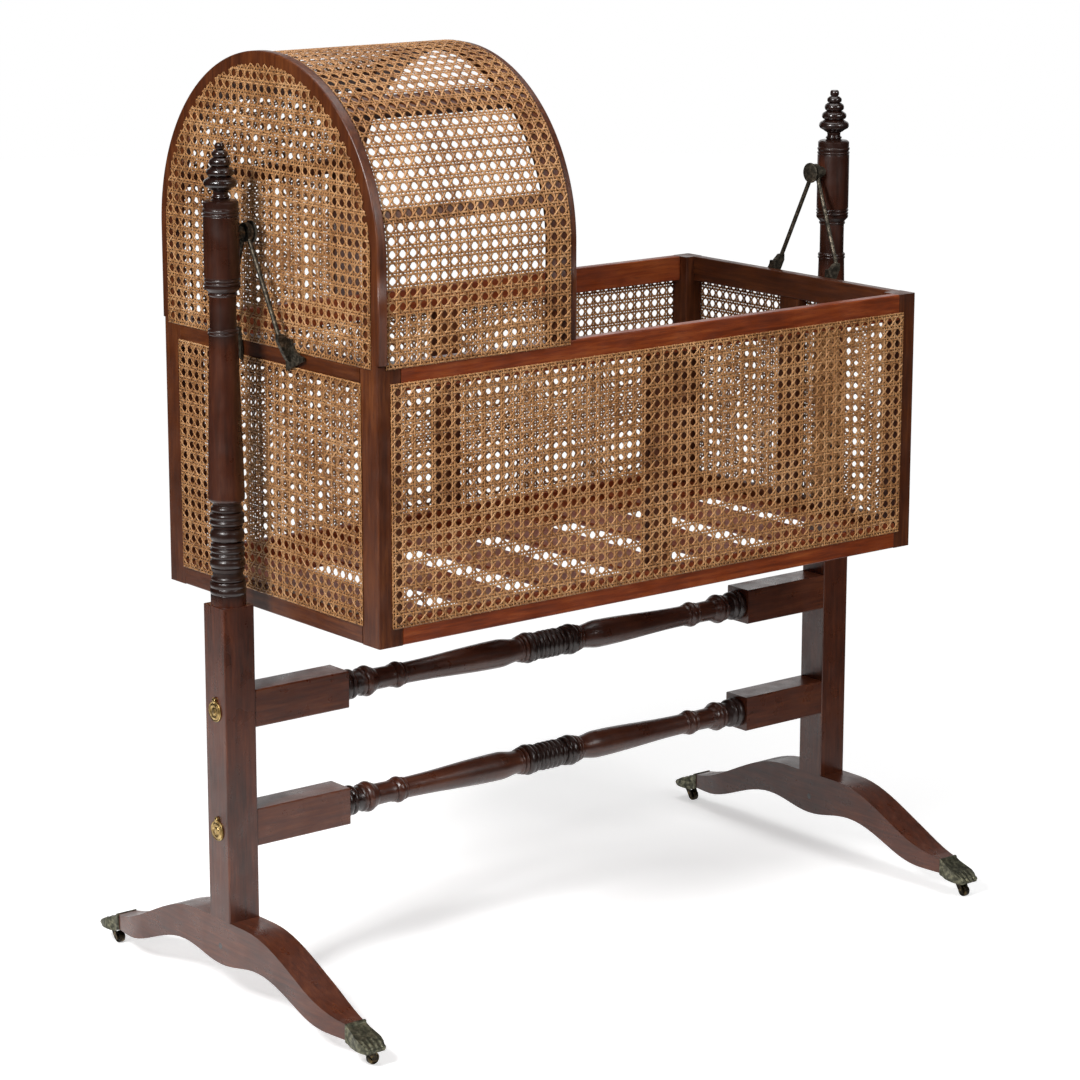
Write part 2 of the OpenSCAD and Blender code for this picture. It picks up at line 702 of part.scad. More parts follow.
// One toe, from its knuckle to its pad.
module toe() {
    bar([0, cap_tip - 16, cap_under + 11], [0, cap_tip - toe_r + 0.8, cap_under + toe_r + 0.4], toe_r);
}

module toe_cap(end, side) {
    socket_w = tongue_width + 2 * joint_clear;
    color(bronze) at_end(end) at_side(side) translate([post_x, 0, 0]) difference() {
        union() {
            intersection() {
                translate([-cap_width / 2, 0, 0]) along_x(cap_width) cap_outline();
                linear_extrude(foot_height)
                    polygon(concat(cap_plan, [for (p = reverse(cap_plan)) [-p[0], p[1]]]));
            }
            for (i = [-1.5 : 1 : 1.5]) translate([i * toe_pitch, 0, 0]) toe();
        }
        translate([-socket_w / 2, 0, 0]) along_x(socket_w) tongue_outline(joint_clear);
        translate([0, stem_y, cap_under - cut])
            cylinder(r = stem_r + run_clear, h = stem_rise + face_gap + cut);
    }
}

// Draws its children at a castor's stem, turned as it stands at rest.
module at_castor(end, side) {
    turns = castor_turns[side > 0 ? 1 : 0];
    at_end(end) at_side(side) translate([post_x, stem_y, 0])
        rotate([0, 0, turns[end > 0 ? 1 : 0]]) children();
}

// One cheek of the horn, drawn in Y and Z: from the plate down to a boss round the axle.
module cheek_outline() {
    top = horn_top - horn_thick / 2;
    polygon([
        [-wheel_trail + 2, top], [4, top], [3.5, top - 3],
        [-wheel_trail + axle_boss_r - 0.6, axle_z - 2], [-wheel_trail - axle_boss_r + 0.4, axle_z + 1]]);
    translate([-wheel_trail, axle_z]) circle(axle_boss_r);
}

module castor_horn(end, side) {
    color(old_brass) at_castor(end, side) {
        translate([0, 0, horn_top - cut]) cylinder(r = stem_r, h = cap_under + stem_rise - horn_top + cut);
        translate([0, 0, horn_top - horn_thick]) cylinder(r = horn_plate_r, h = horn_thick);
        for (x = [-cheek_in - horn_thick, cheek_in])
            translate([x, 0, 0]) along_x(horn_thick) cheek_outline();
        translate([-cheek_in - horn_thick / 2, -wheel_trail, axle_z]) facing_x()
            cylinder(r = axle_r, h = 2 * cheek_in + horn_thick);
    }
}

// Half section of the wheel: [radius as a part of the wheel's, distance from its middle plane].
wheel_face = [[0.5, 1], [0.55, 0.7], [0.72, 0.7], [0.78, 1], [0.9, 1], [0.97, 0.8], [1, 0.4]];

module castor_wheel(end, side) {
    half = wheel_width / 2;
    bore = axle_r + run_clear;
    outer = [for (p = wheel_face) [p[0] * wheel_r, p[1] * half]];
    color(old_brass) at_castor(end, side) translate([0, -wheel_trail, axle_z])
        facing_x() rotate_extrude() polygon(concat(
            [[bore, half]], outer, [for (p = reverse(outer)) [p[0], -p[1]]], [[bore, -half]]));
}

// ---- frames of the cradle's body ----

function stile_side(end) = end > 0 ? open_stile : hood_stile;

// The tenons of a side rail, in one bar along X.
module side_tenons(z, grow = 0) {
    x0 = -half_l + hood_stile - rail_tenon;
    x1 = half_l - open_stile + rail_tenon;
    translate([x0 - grow, side_in + tenon_in - grow, z + tenon_shoulder - grow])
        cube([x1 - x0 + 2 * grow, rail_tenon_thick + 2 * grow,
            rail_height - 2 * tenon_shoulder + 2 * grow]);
}

// The tenons of an end rail, in one bar along Y.
module end_tenons(stile, z, grow = 0) {
    y1 = half_w - stile + rail_tenon + grow;
    translate([end_in + tenon_in - grow, -y1, z + tenon_shoulder - grow])
        cube([rail_tenon_thick + 2 * grow, 2 * y1, rail_height - 2 * tenon_shoulder + 2 * grow]);
}

// The tenons of a muntin that stands in the middle of a frame, in one bar along Z.
module muntin_tenons(grow = 0) {
    low = body_lift + rail_height - rail_tenon;
    translate([-muntin_width / 2 + tenon_shoulder - grow, tenon_in - grow, low - grow])
        cube([muntin_width - 2 * tenon_shoulder + 2 * grow, rail_tenon_thick + 2 * grow,
            body_top - rail_height + rail_tenon - low + 2 * grow]);
}

// A muntin with its inner face on the XZ plane.
module muntin() {
    translate([-muntin_width / 2, 0, body_lift + rail_height])
        linear_extrude(body_height - 2 * rail_height) rounded(muntin_width, rail_thick);
    muntin_tenons();
}

// Brings what is drawn for a side frame to the middle of the open end's frame.
module in_open_end() {
    translate([end_in, 0, 0]) rotate([0, 0, -90]) children();
}

module stile(end, side) {
    s = stile_side(end);
    color(red_mahogany) difference() {
        at_end(end) at_side(side) translate([half_l - s, half_w - s, body_lift])
            linear_extrude(body_height) rounded(s, s);
        for (z = [body_lift, top_rail_z]) {
            at_side(side) side_tenons(z, joint_clear);
            at_end(end) end_tenons(s, z, joint_clear);
        }
    }
}

module side_rail(side, z) {
    x0 = -half_l + hood_stile;
    color(red_mahogany) at_side(side) difference() {
        union() {
            translate([x0, side_in, z])
                along_x(body_length - hood_stile - open_stile) rounded(rail_thick, rail_height);
            side_tenons(z);
        }
        translate([0, side_in, 0]) muntin_tenons(joint_clear);
    }
}

module end_rail(end, z) {
    s = stile_side(end);
    color(red_mahogany) at_end(end) difference() {
        union() {
            translate([end_in, -half_w + s, z])
                along_y(body_width - 2 * s) rounded(rail_thick, rail_height);
            end_tenons(s, z);
        }
        if (end > 0) in_open_end() muntin_tenons(joint_clear);
        if (z == top_rail_z) each_screw() translate([0, 0, half_l - screw_grip - joint_clear])
            cylinder(r = screw_r + joint_clear / 2, h = screw_grip + cut);
    }
}

module side_muntins() {
    color(red_mahogany) for (side = [-1, 1]) at_side(side) translate([0, side_in, 0]) muntin();
}

module end_muntin_open() {
    color(red_mahogany) in_open_end() muntin();
}

// ---- slatted bottom ----

// The corners that the stiles take from the bottom.
module stile_corners() {
    for (end = [-1, 1], side = [-1, 1]) {
        s = stile_side(end) + joint_clear;
        at_end(end) at_side(side) translate([half_l - s, half_w - s, body_lift - cut])
            cube([s + cut, s + cut, body_height]);
    }
}

module slat_bearers() {
    color(red_mahogany) difference() {
        for (side = [-1, 1]) at_side(side) translate([-end_in, side_in - bearer_width, body_lift])
            cube([2 * end_in, bearer_width, bearer_thick]);
        stile_corners();
    }
}

first_slat_x = -end_in + end_slat_width + first_slat_gap;
last_slat_x = end_in - end_slat_width - slat_width;

module bottom_slats() {
    xs = [for (x = [first_slat_x : slat_pitch : last_slat_x]) x];
    color(red_mahogany) {
        for (x = xs) translate([x, -side_in, slat_z])
            along_y(2 * side_in) rounded(slat_width, slat_thick);
        difference() {
            for (x = [-end_in, end_in - end_slat_width]) translate([x, -side_in, slat_z])
                cube([end_slat_width, 2 * side_in, slat_thick]);
            stile_corners();
        }
    }
}

// ---- hood ----

// An arch in the YZ plane with straight legs, from x0 along +X.
module arch(x0, width, inner, outer, foot_z) {
    translate([x0, 0, spring_z]) rotate([90, 0, 90]) rotate_extrude(angle = 180)
        translate([inner, 0]) square([outer - inner, width]);
    for (side = [-1, 1]) at_side(side) translate([x0, inner, foot_z])
        cube([width, outer - inner, spring_z - foot_z]);
}

module hood_hoop_head() {
    color(red_mahogany) arch(-half_l, head_hoop_thick, hoop_in_r, hoop_out_r, body_top);
}

module hood_hoop_mouth() {
    color(red_mahogany)
        arch(mouth_x - mouth_hoop_width, mouth_hoop_width, half_w - mouth_hoop_thick, half_w, body_top);
}

// Each batten is [angle above the start of the arch, width].
battens = [
    [low_batten_angle, low_batten_width], [high_batten_angle, high_batten_width],
    [180 - high_batten_angle, high_batten_width], [180 - low_batten_angle, low_batten_width]];

module hood_battens() {
    length = mouth_x - mouth_hoop_width - head_x;
    color(red_mahogany) for (b = battens) {
        outer = sqrt(half_w * half_w - b[1] * b[1] / 4); // so that its long edges touch the cane
        translate([head_x, 0, spring_z]) rotate([b[0], 0, 0])
            translate([0, outer - batten_thick, -b[1] / 2]) cube([length, batten_thick, b[1]]);
    }
}

// ---- cane ----

// A flat net drawn in the first quadrant, w by h, with its gaps spread inside the lap.
module net(w, h, cols) {
    col = (w - 2 * cane_lap) / cols;
    row = (h - 2 * cane_lap) / net_rows;
    difference() {
        square([w, h]);
        for (i = [0 : cols - 1], j = [0 : net_rows - 1])
            translate([cane_lap + (i + 0.5) * col, cane_lap + (j + 0.5) * row]) net_gap(col, row);
    }
}

// An eight-sided gap that leaves strands between it and its neighbours.
module net_gap(w, h) {
    a = w / 2 * net_open;
    b = h / 2 * net_open;
    c = 0.45; // the part of each side that the straight edge keeps
    polygon([
        [a, -b * c], [a, b * c], [a * c, b], [-a * c, b],
        [-a, b * c], [-a, -b * c], [-a * c, -b], [a * c, -b]]);
}

side_net_x = -half_l + hood_stile - cane_lap;
side_net_l = body_length - hood_stile - open_stile + 2 * cane_lap;
net_h = bare_top_z - bare_low_z;

module side_cane(side) {
    color(cane_gold) at_side(side) translate([side_net_x, half_w, bare_low_z])
        along_y(cane_thick) net(side_net_l, net_h, side_net_cols);
}

module end_cane(end) {
    half = half_w - stile_side(end) + cane_lap;
    color(cane_gold) at_end(end) translate([half_l, -half, bare_low_z])
        along_x(cane_thick) net(2 * half, net_h, end_net_cols);
}

// The arch of cane over the head frame, with the gaps that fit inside the hoop.
module cane_head_arch() {
    r = hoop_out_r - head_hoop_bare;
    pitch = 2 * hoop_in_r / end_net_cols;
    corner_out = pitch / 2 * net_open * 0.7; // from a gap's middle towards its corner, each way
    half_cols = floor((end_net_cols - 1) / 2);
    color(cane_gold) translate([-half_l - cane_thick, 0, 0]) along_x(cane_thick) difference() {
        union() {
            translate([0, spring_z]) circle(r);
            translate([-r, hood_foot_z]) square([2 * r, spring_z - hood_foot_z]);
        }
        translate([-r - cut, hood_foot_z - 2 * r]) square([2 * r + 2 * cut, 2 * r]);
        for (i = [-half_cols : half_cols], j = [0 : end_net_cols]) {
            y = i * pitch;
            z = body_top + (j + 0.5) * pitch;
            corner = norm([abs(y) + corner_out, max(z + corner_out - spring_z, 0)]);
            if (corner < hoop_in_r - 1) translate([y, z]) net_gap(pitch, pitch);
        }
    }
}

// Places its children, which point along +Y, at a distance s along the hood's outline.
module on_hood(s) {
    straight = spring_z - hood_foot_z;
    angle = (s - straight) * 180 / (PI * cover_out_r);
    if (s < straight) translate([0, 0, hood_foot_z + s]) children();
    else if (angle > 180) mirror([0, 1, 0])
        translate([0, 0, spring_z - (s - straight - PI * cover_out_r)]) children();
    else translate([0, 0, spring_z]) rotate([angle, 0, 0]) children();
}

module cane_hood_cover() {
    outline = 2 * (spring_z - hood_foot_z) + PI * cover_out_r;
    row = outline / hood_net_rows;
    col = (mouth_x - head_x) / hood_net_cols;
    color(cane_gold) difference() {
        arch(head_x, mouth_x - head_x, cover_in_r, cover_out_r, hood_foot_z);
        for (i = [0 : hood_net_cols - 1], j = [0 : hood_net_rows - 1]) on_hood((j + 0.5) * row)
            translate([head_x + (i + 0.5) * col, cover_in_r - 20, 0]) along_y(40) net_gap(col, row);
    }
}

// ---- hangers ----

// The foot's outline in Y and Z: it curves out and down from the leg to a blunt toe.
module hanger_foot_outline() {
    toe = [leg_spread + hanger_foot, plate_low + 22];
    y0 = leg_spread + 4;
    curve = [for (a = [0 : 15 : 90])
        [y0 + (toe[0] - y0) * (1 - cos(a)), plate_top - (plate_top - toe[1]) * sin(a)]];
    polygon(concat(
        [[leg_spread - 8, plate_low], [leg_spread - 8, plate_low + 14], [leg_spread - 4, plate_top]],
        curve, [toe - [0, 5]]));
}

// The bracket in X and Z that carries the knee on the foot.
module bracket_outline() {
    x0 = half_l + hanger_skin + hanger_foot_thick / 2;
    x1 = half_l + leg_stand + leg_r + 0.6;
    top = knee_z + leg_r + 0.6;
    polygon([
        [x0, plate_top - 3], [x1 - 2 * leg_r - 1.2, top], [x1, top], [x1, knee_z - 5],
        [x0 + 7, plate_low + 16], [x0, plate_low + 9]]);
}

// Draws its children at each screw, upright on the YZ plane and pointing along +X.
module each_screw() {
    for (side = [-1, 1], y = screw_ys) translate([0, side * y, screw_z]) facing_x() children();
}

module hanger(end) {
    top = [eye_x, 0, pivot_z];
    knee = [half_l + leg_stand, leg_spread, knee_z];
    color(iron) at_end(end) difference() {
        union() {
            translate([eye_x - eye_thick / 2, 0, pivot_z]) facing_x() cylinder(r = eye_r, h = eye_thick);
            for (side = [-1, 1]) at_side(side) {
                bar(top + [0, eye_r * 0.62, -eye_r * 0.68], knee, leg_r);
                translate([half_l + hanger_skin, 0, 0]) along_x(hanger_foot_thick) hanger_foot_outline();
                translate([0, leg_spread - bracket_thick / 2, 0]) along_y(bracket_thick) bracket_outline();
            }
            each_screw() translate([0, 0, half_l]) cylinder(r = screw_boss_r, h = hanger_skin + cut);
        }
        translate([eye_x - eye_thick, 0, pivot_z]) facing_x()
            cylinder(r = pin_r + run_clear, h = 2 * eye_thick);
        each_screw() translate([0, 0, half_l - cut])
            cylinder(r = screw_r + joint_clear, h = plate_out - half_l + 2 * cut);
    }
}

module hanger_screws() {
    length = plate_out - half_l + screw_grip;
    color(iron) for (end = [-1, 1]) at_end(end) each_screw() translate([0, 0, plate_out]) rotate_extrude()
        polygon([
            [0, -length], [screw_r, -length + 3], [screw_r, 0], [screw_head_r, 0],
            [screw_head_r - 0.5, 0.9], [0, 1.5]]);
}

// A pin driven into the upright, with a collar against it and a wide round head.
module pivot_pin(end) {
    r = pin_head_r;
    t = pin_head_thick;
    end_x = post_x - block_r + pin_grip - joint_clear;
    color(iron) at_end(end) translate([0, 0, pivot_z]) facing_x() {
        translate([0, 0, head_in]) rotate_extrude() polygon([
            [0, 0], [r * 0.55, 0.2], [r * 0.85, 0.8], [r, 1.8], [r, t - 0.6], [r - 0.6, t], [0, t]]);
        translate([0, 0, head_out - cut]) cylinder(r = pin_r, h = end_x - head_out + cut);
        translate([0, 0, collar_in]) cylinder(r = collar_r, h = collar_seat - collar_in);
    }
}

// ---- the pieces ----

foot(-1);  // foot_hood_end
foot(1);  // foot_open_end
foot_dowels();
upright(-1);  // upright_hood_end
upright(1);  // upright_open_end
finial(-1);  // finial_hood_end
finial(1);  // finial_open_end
stretcher(upper_stretcher_z);  // stretcher_upper
stretcher(lower_stretcher_z);  // stretcher_lower
bed_bolts();
bed_nuts();
cover_pins();
pivot_pin(-1);  // pivot_pin_hood_end
pivot_pin(1);  // pivot_pin_open_end
toe_cap(-1, -1);  // toe_cap_hood_front
toe_cap(-1, 1);  // toe_cap_hood_back
toe_cap(1, -1);  // toe_cap_open_front
toe_cap(1, 1);  // toe_cap_open_back
bolt_cover(-1, upper_stretcher_z);  // bolt_cover_hood_upper
bolt_cover(-1, lower_stretcher_z);  // bolt_cover_hood_lower
bolt_cover(1, upper_stretcher_z);  // bolt_cover_open_upper
bolt_cover(1, lower_stretcher_z);  // bolt_cover_open_lower
castor_horn(-1, -1);  // castor_horn_hood_front
castor_horn(-1, 1);  // castor_horn_hood_back
castor_horn(1, -1);  // castor_horn_open_front
castor_horn(1, 1);  // castor_horn_open_back
castor_wheel(-1, -1);  // castor_wheel_hood_front
castor_wheel(-1, 1);  // castor_wheel_hood_back
castor_wheel(1, -1);  // castor_wheel_open_front
castor_wheel(1, 1);  // castor_wheel_open_back
stile(-1, -1);  // stile_hood_front
stile(-1, 1);  // stile_hood_back
stile(1, -1);  // stile_open_front
stile(1, 1);  // stile_open_back
side_rail(-1, body_lift);  // side_bottom_rail_front
side_rail(1, body_lift);  // side_bottom_rail_back
side_rail(-1, top_rail_z);  // side_top_rail_front
side_rail(1, top_rail_z);  // side_top_rail_back
end_rail(-1, body_lift);  // end_bottom_rail_hood
end_rail(1, body_lift);  // end_bottom_rail_open
end_rail(-1, top_rail_z);  // end_mid_rail_hood
end_rail(1, top_rail_z);  // end_top_rail_open
side_muntins();
end_muntin_open();
slat_bearers();
bottom_slats();
hood_hoop_head();
hood_hoop_mouth();
hood_battens();
side_cane(-1);  // cane_front
side_cane(1);  // cane_back
end_cane(-1);  // cane_head_lower
cane_head_arch();
end_cane(1);  // cane_open_end
cane_hood_cover();
hanger(-1);  // hanger_hood_end
hanger(1);  // hanger_open_end
hanger_screws();
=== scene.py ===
import json
import math

import bpy
import numpy as np
from mathutils import Matrix, Vector


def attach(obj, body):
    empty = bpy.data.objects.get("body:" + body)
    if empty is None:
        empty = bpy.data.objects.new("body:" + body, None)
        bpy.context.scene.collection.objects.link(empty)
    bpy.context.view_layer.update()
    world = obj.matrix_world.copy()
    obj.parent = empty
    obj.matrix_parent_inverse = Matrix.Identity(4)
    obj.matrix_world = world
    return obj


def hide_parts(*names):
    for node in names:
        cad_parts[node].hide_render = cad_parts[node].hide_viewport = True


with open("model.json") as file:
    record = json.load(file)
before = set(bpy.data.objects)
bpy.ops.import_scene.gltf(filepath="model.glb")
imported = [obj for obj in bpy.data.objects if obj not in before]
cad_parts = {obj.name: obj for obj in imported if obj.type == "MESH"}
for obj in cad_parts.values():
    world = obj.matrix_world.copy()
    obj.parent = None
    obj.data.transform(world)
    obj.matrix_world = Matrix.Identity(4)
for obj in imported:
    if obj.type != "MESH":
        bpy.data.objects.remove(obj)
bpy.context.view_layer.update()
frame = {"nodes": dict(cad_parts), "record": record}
nodes = frame["nodes"]
record = frame["record"]
bodyOf = {node: body for body, members in record["behaviour"]["bodies"].items() for node in members}
scene = bpy.context.scene
mm = 0.001
tiny = 1e-12  # keeps a division by a length clear of zero


# sRGB hex to linear, by the standard curve
def colour(code):
    parts = [int(code[i:i + 2], 16) / 255 for i in (1, 3, 5)]
    return [p / 12.92 if p <= 0.04045 else ((p + 0.055) / 1.055) ** 2.4 for p in parts] + [1.0]


# one node, with its settings, and its inputs as values or as other nodes' outputs
def addNode(tree, kind, inputs=None, **settings):
    node = tree.nodes.new("ShaderNode" + kind)
    for key, value in settings.items():
        setattr(node, key, value)
    for key, value in (inputs or {}).items():
        if isinstance(value, bpy.types.NodeSocket):
            tree.links.new(value, node.inputs[key])
        else:
            node.inputs[key].default_value = value
    return node


# an empty material with its tree and its surface shader, joined to the output
def newMaterial(name, **surface):
    material = bpy.data.materials.new(name)
    material.use_nodes = True
    tree = material.node_tree
    tree.nodes.clear()
    shader = addNode(tree, "BsdfPrincipled", {k.replace("_", " "): v for k, v in surface.items()})
    addNode(tree, "OutputMaterial", {"Surface": shader.outputs[0]})
    return material, tree, shader


# a colour ramp's marks, from their places and their colours or grey levels
def setRamp(ramp, places, values):
    marks = ramp.color_ramp.elements
    while len(marks) < len(places):
        marks.new(0.5)
    for mark, place, value in zip(marks, places, values):
        mark.position = place
        mark.color = colour(value) if isinstance(value, str) else [value] * 3 + [1.0]


# a mesh piece from points in metres and an array of faces with one number of corners
def newPiece(name, points, faces, material, body):
    mesh = bpy.data.meshes.new(name)
    mesh.vertices.add(len(points))
    mesh.vertices.foreach_set("co", np.asarray(points, np.float32).ravel())
    mesh.loops.add(faces.size)
    mesh.loops.foreach_set("vertex_index", faces.astype(np.int32).ravel())
    mesh.polygons.add(len(faces))
    starts = np.arange(0, faces.size, faces.shape[1], dtype=np.int32)
    mesh.polygons.foreach_set("loop_start", starts)
    mesh.update(calc_edges=True)
    mesh.polygons.foreach_set("use_smooth", np.ones(len(faces), bool))
    mesh.materials.append(material)
    piece = bpy.data.objects.new(name, mesh)
    scene.collection.objects.link(piece)
    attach(piece, body)
    return piece


# one number for each vertex, which the piece's material reads by name
def setAttribute(piece, name, values):
    layer = piece.data.attributes.new(name, "FLOAT", "POINT")
    layer.data.foreach_set("value", values.astype(np.float32))


darkWood = dict(
    name="frenchPolishedMahogany", deep="#34180d", body="#522716", light="#6b3a22",
    roughness=0.3, coat=0.1, coatRoughness=0.12)
redWood = dict(
    name="redPolishedMahogany", deep="#5a230b", body="#803614", light="#a05226",
    roughness=0.36, coat=0.08, coatRoughness=0.16)
brownWood = dict(
    name="brownPolishedMahogany", deep="#371809", body="#522710", light="#703d1d",
    roughness=0.36, coat=0.08, coatRoughness=0.16)
turnedWood = dict(
    name="turnedMahogany", deep="#120806", body="#22100a", light="#361a10",
    roughness=0.26, coat=0.45, coatRoughness=0.11)
woodGrain = dict(
    alongX=(0, 0, 0), alongY=(0, 0, math.pi / 2), alongZ=(0, math.pi / 2, 0),  # turns, radians
    stripeStretch=(0.07, 1, 1), poreStretch=(0.045, 1, 1),  # drawn out along the grain
    stripes=dict(Scale=190.0, Detail=5.0, Roughness=0.62, Distortion=0.35),  # 5 mm apart
    pores=dict(Scale=1500.0, Detail=2.0, Roughness=0.5),  # 0.4 mm wide and 12 mm long
    clouds=dict(Scale=9.0, Detail=3.0), cloudShare=0.38,  # 110 mm wide
    toneStops=(0.34, 0.5, 0.67), poreStops=(0.56, 0.66), poreShare=0.55,
    wear=dict(Scale=38.0, Detail=6.0), wearSpan=(0.3, 0.7),  # 26 mm wide
    rubbed=-0.07, dulled=0.12,  # added to the roughness
    ior=1.5, bumpStrength=0.25, poreDepth=0.0002, waveDepth=0.0003)  # m


# Mahogany under shellac: long soft stripes 5 mm apart along the grain, pores 0.4 mm wide and
# about 12 mm long as dark dashes, cloudy patches 110 mm wide and a glossy coat with wear. Turned
# rings carry the attribute polish, which is 1 where they were stained near black.
def mahogany(look, axis):
    grain = woodGrain
    material, tree, shader = newMaterial(
        look["name"] + axis, Roughness=look["roughness"], Coat_Weight=look["coat"],
        Coat_Roughness=look["coatRoughness"], IOR=grain["ior"], Coat_IOR=grain["ior"])
    place = addNode(tree, "TexCoord").outputs["Object"]
    turned = addNode(tree, "Mapping", {
        "Vector": place, "Rotation": grain["along" + axis]}, vector_type="TEXTURE").outputs[0]
    long = addNode(tree, "Mapping", {
        "Vector": turned, "Scale": grain["stripeStretch"]}).outputs[0]
    dash = addNode(tree, "Mapping", {
        "Vector": turned, "Scale": grain["poreStretch"]}).outputs[0]
    clouds = addNode(tree, "TexNoise", {"Vector": turned, **grain["clouds"]}).outputs["Fac"]
    stripes = addNode(tree, "TexNoise", {"Vector": long, **grain["stripes"]}).outputs["Fac"]
    pores = addNode(tree, "TexNoise", {"Vector": dash, **grain["pores"]}).outputs["Fac"]
    blend = addNode(tree, "Mix", {
        "Factor": grain["cloudShare"], "A": stripes, "B": clouds},
        data_type="FLOAT").outputs["Result"]
    ramp = addNode(tree, "ValToRGB", {"Fac": blend})
    setRamp(ramp, grain["toneStops"], (look["deep"], look["body"], look["light"]))
    rings = addNode(tree, "Attribute", attribute_name="polish").outputs["Fac"]
    toned = addNode(tree, "Mix", {
        "Factor": rings, "A": ramp.outputs[0], "B": colour(turnedWood["body"])},
        data_type="RGBA").outputs["Result"]
    poreMask = addNode(tree, "ValToRGB", {"Fac": pores})
    setRamp(poreMask, grain["poreStops"], (0.0, 1.0))
    poreShare = addNode(tree, "Math", {
        0: poreMask.outputs[0], 1: grain["poreShare"]}, operation="MULTIPLY").outputs[0]
    tinted = addNode(tree, "Mix", {
        "Factor": poreShare, "A": toned, "B": colour(look["deep"])},
        data_type="RGBA").outputs["Result"]
    tree.links.new(tinted, shader.inputs["Base Color"])
    wear = addNode(tree, "TexNoise", {"Vector": turned, **grain["wear"]}).outputs["Fac"]
    rough = addNode(tree, "MapRange", {
        "Value": wear, "From Min": grain["wearSpan"][0], "From Max": grain["wearSpan"][1],
        "To Min": look["roughness"] + grain["rubbed"],
        "To Max": look["roughness"] + grain["dulled"]}).outputs[0]
    tree.links.new(rough, shader.inputs["Roughness"])
    poreBump = addNode(tree, "Bump", {
        "Height": poreMask.outputs[0], "Strength": grain["bumpStrength"],
        "Distance": grain["poreDepth"]}, invert=True).outputs[0]
    waveBump = addNode(tree, "Bump", {
        "Height": stripes, "Strength": grain["bumpStrength"], "Distance": grain["waveDepth"],
        "Normal": poreBump}).outputs[0]
    tree.links.new(waveBump, shader.inputs["Normal"])
    return material


caneLook = dict(
    name="splitCane", pale="#d8aa7c", body="#b38050", dark="#83552e", stain="#5c3a22",
    toneStops=(0.2, 0.38, 0.52, 0.72), roughness=0.42, ior=1.5,
    patches=dict(Scale=14.0, Detail=4.0), patchShare=0.5,  # 70 mm wide
    fibres=dict(Scale=420.0, Detail=4.0), fibreShare=0.25,  # 2.4 mm apart
    fibreStrength=0.3, fibreDepth=0.0002)  # m


# Rattan cane, split and polished: straw gold strips with a hard smooth skin, each strip its own
# tone, with fine fibres and brown stains in patches.
def splitCane(look):
    material, tree, shader = newMaterial(look["name"], Roughness=look["roughness"], IOR=look["ior"])
    tone = addNode(tree, "Attribute", attribute_name="tone").outputs["Fac"]
    place = addNode(tree, "TexCoord").outputs["Object"]
    patches = addNode(tree, "TexNoise", {"Vector": place, **look["patches"]}).outputs["Fac"]
    fibres = addNode(tree, "TexNoise", {"Vector": place, **look["fibres"]}).outputs["Fac"]
    mixed = addNode(tree, "Mix", {
        "Factor": look["patchShare"], "A": tone, "B": patches},
        data_type="FLOAT").outputs["Result"]
    speckled = addNode(tree, "Mix", {
        "Factor": look["fibreShare"], "A": mixed, "B": fibres},
        data_type="FLOAT").outputs["Result"]
    ramp = addNode(tree, "ValToRGB", {"Fac": speckled})
    setRamp(ramp, look["toneStops"], [look[key] for key in ("stain", "dark", "body", "pale")])
    tree.links.new(ramp.outputs[0], shader.inputs["Base Color"])
    bump = addNode(tree, "Bump", {
        "Height": fibres, "Strength": look["fibreStrength"],
        "Distance": look["fibreDepth"]}).outputs[0]
    tree.links.new(bump, shader.inputs["Normal"])
    return material


metalLooks = dict(  # a grit of 180 gives dull patches 5 to 6 mm wide, and 140 gives 7 mm
    iron=dict(name="forgedIron", dark="#25221d", body="#4a443a", light="#7a7061",
              metallic=0.8, roughness=0.5, grit=180.0),
    brass=dict(name="agedBrass", dark="#4a3a22", body="#94794a", light="#c6ab74",
               metallic=1.0, roughness=0.36, grit=140.0),
    # castor: brass painted near black, as painted shade for the shade the castors sit in under the
    # paws
    castor=dict(name="brassDarkInShade", dark="#120f0b", body="#2b251c", light="#6e5c3c",
                metallic=0.9, roughness=0.42, grit=150.0),
    bronze=dict(name="patinatedBronze", dark="#26261f", body="#565546", light="#86836b",
                metallic=0.8, roughness=0.45, grit=170.0))
castSkin = dict(
    patches=dict(Detail=6.0, Roughness=0.6), toneStops=(0.3, 0.5, 0.68), wearSpan=(0.3, 0.7),
    dulled=0.15, rubbed=-0.1,  # added to the roughness
    grain=dict(Scale=900.0, Detail=3.0), grainStrength=0.25, grainDepth=0.0002)  # 1.1 mm; m


# Cast or forged metal, aged by hand and air: dull patches, a fine cast grain, bright where rubbed.
def agedMetal(look):
    material, tree, shader = newMaterial(
        look["name"], Metallic=look["metallic"], Roughness=look["roughness"])
    place = addNode(tree, "TexCoord").outputs["Object"]
    patches = addNode(tree, "TexNoise", {
        "Vector": place, "Scale": look["grit"], **castSkin["patches"]}).outputs["Fac"]
    ramp = addNode(tree, "ValToRGB", {"Fac": patches})
    setRamp(ramp, castSkin["toneStops"], (look["dark"], look["body"], look["light"]))
    tree.links.new(ramp.outputs[0], shader.inputs["Base Color"])
    rough = addNode(tree, "MapRange", {
        "Value": patches, "From Min": castSkin["wearSpan"][0], "From Max": castSkin["wearSpan"][1],
        "To Min": look["roughness"] + castSkin["dulled"],
        "To Max": look["roughness"] + castSkin["rubbed"]}).outputs[0]
    tree.links.new(rough, shader.inputs["Roughness"])
    grain = addNode(tree, "TexNoise", {"Vector": place, **castSkin["grain"]}).outputs["Fac"]
    bump = addNode(tree, "Bump", {
        "Height": grain, "Strength": castSkin["grainStrength"],
        "Distance": castSkin["grainDepth"]}).outputs[0]
    tree.links.new(bump, shader.inputs["Normal"])
    return material


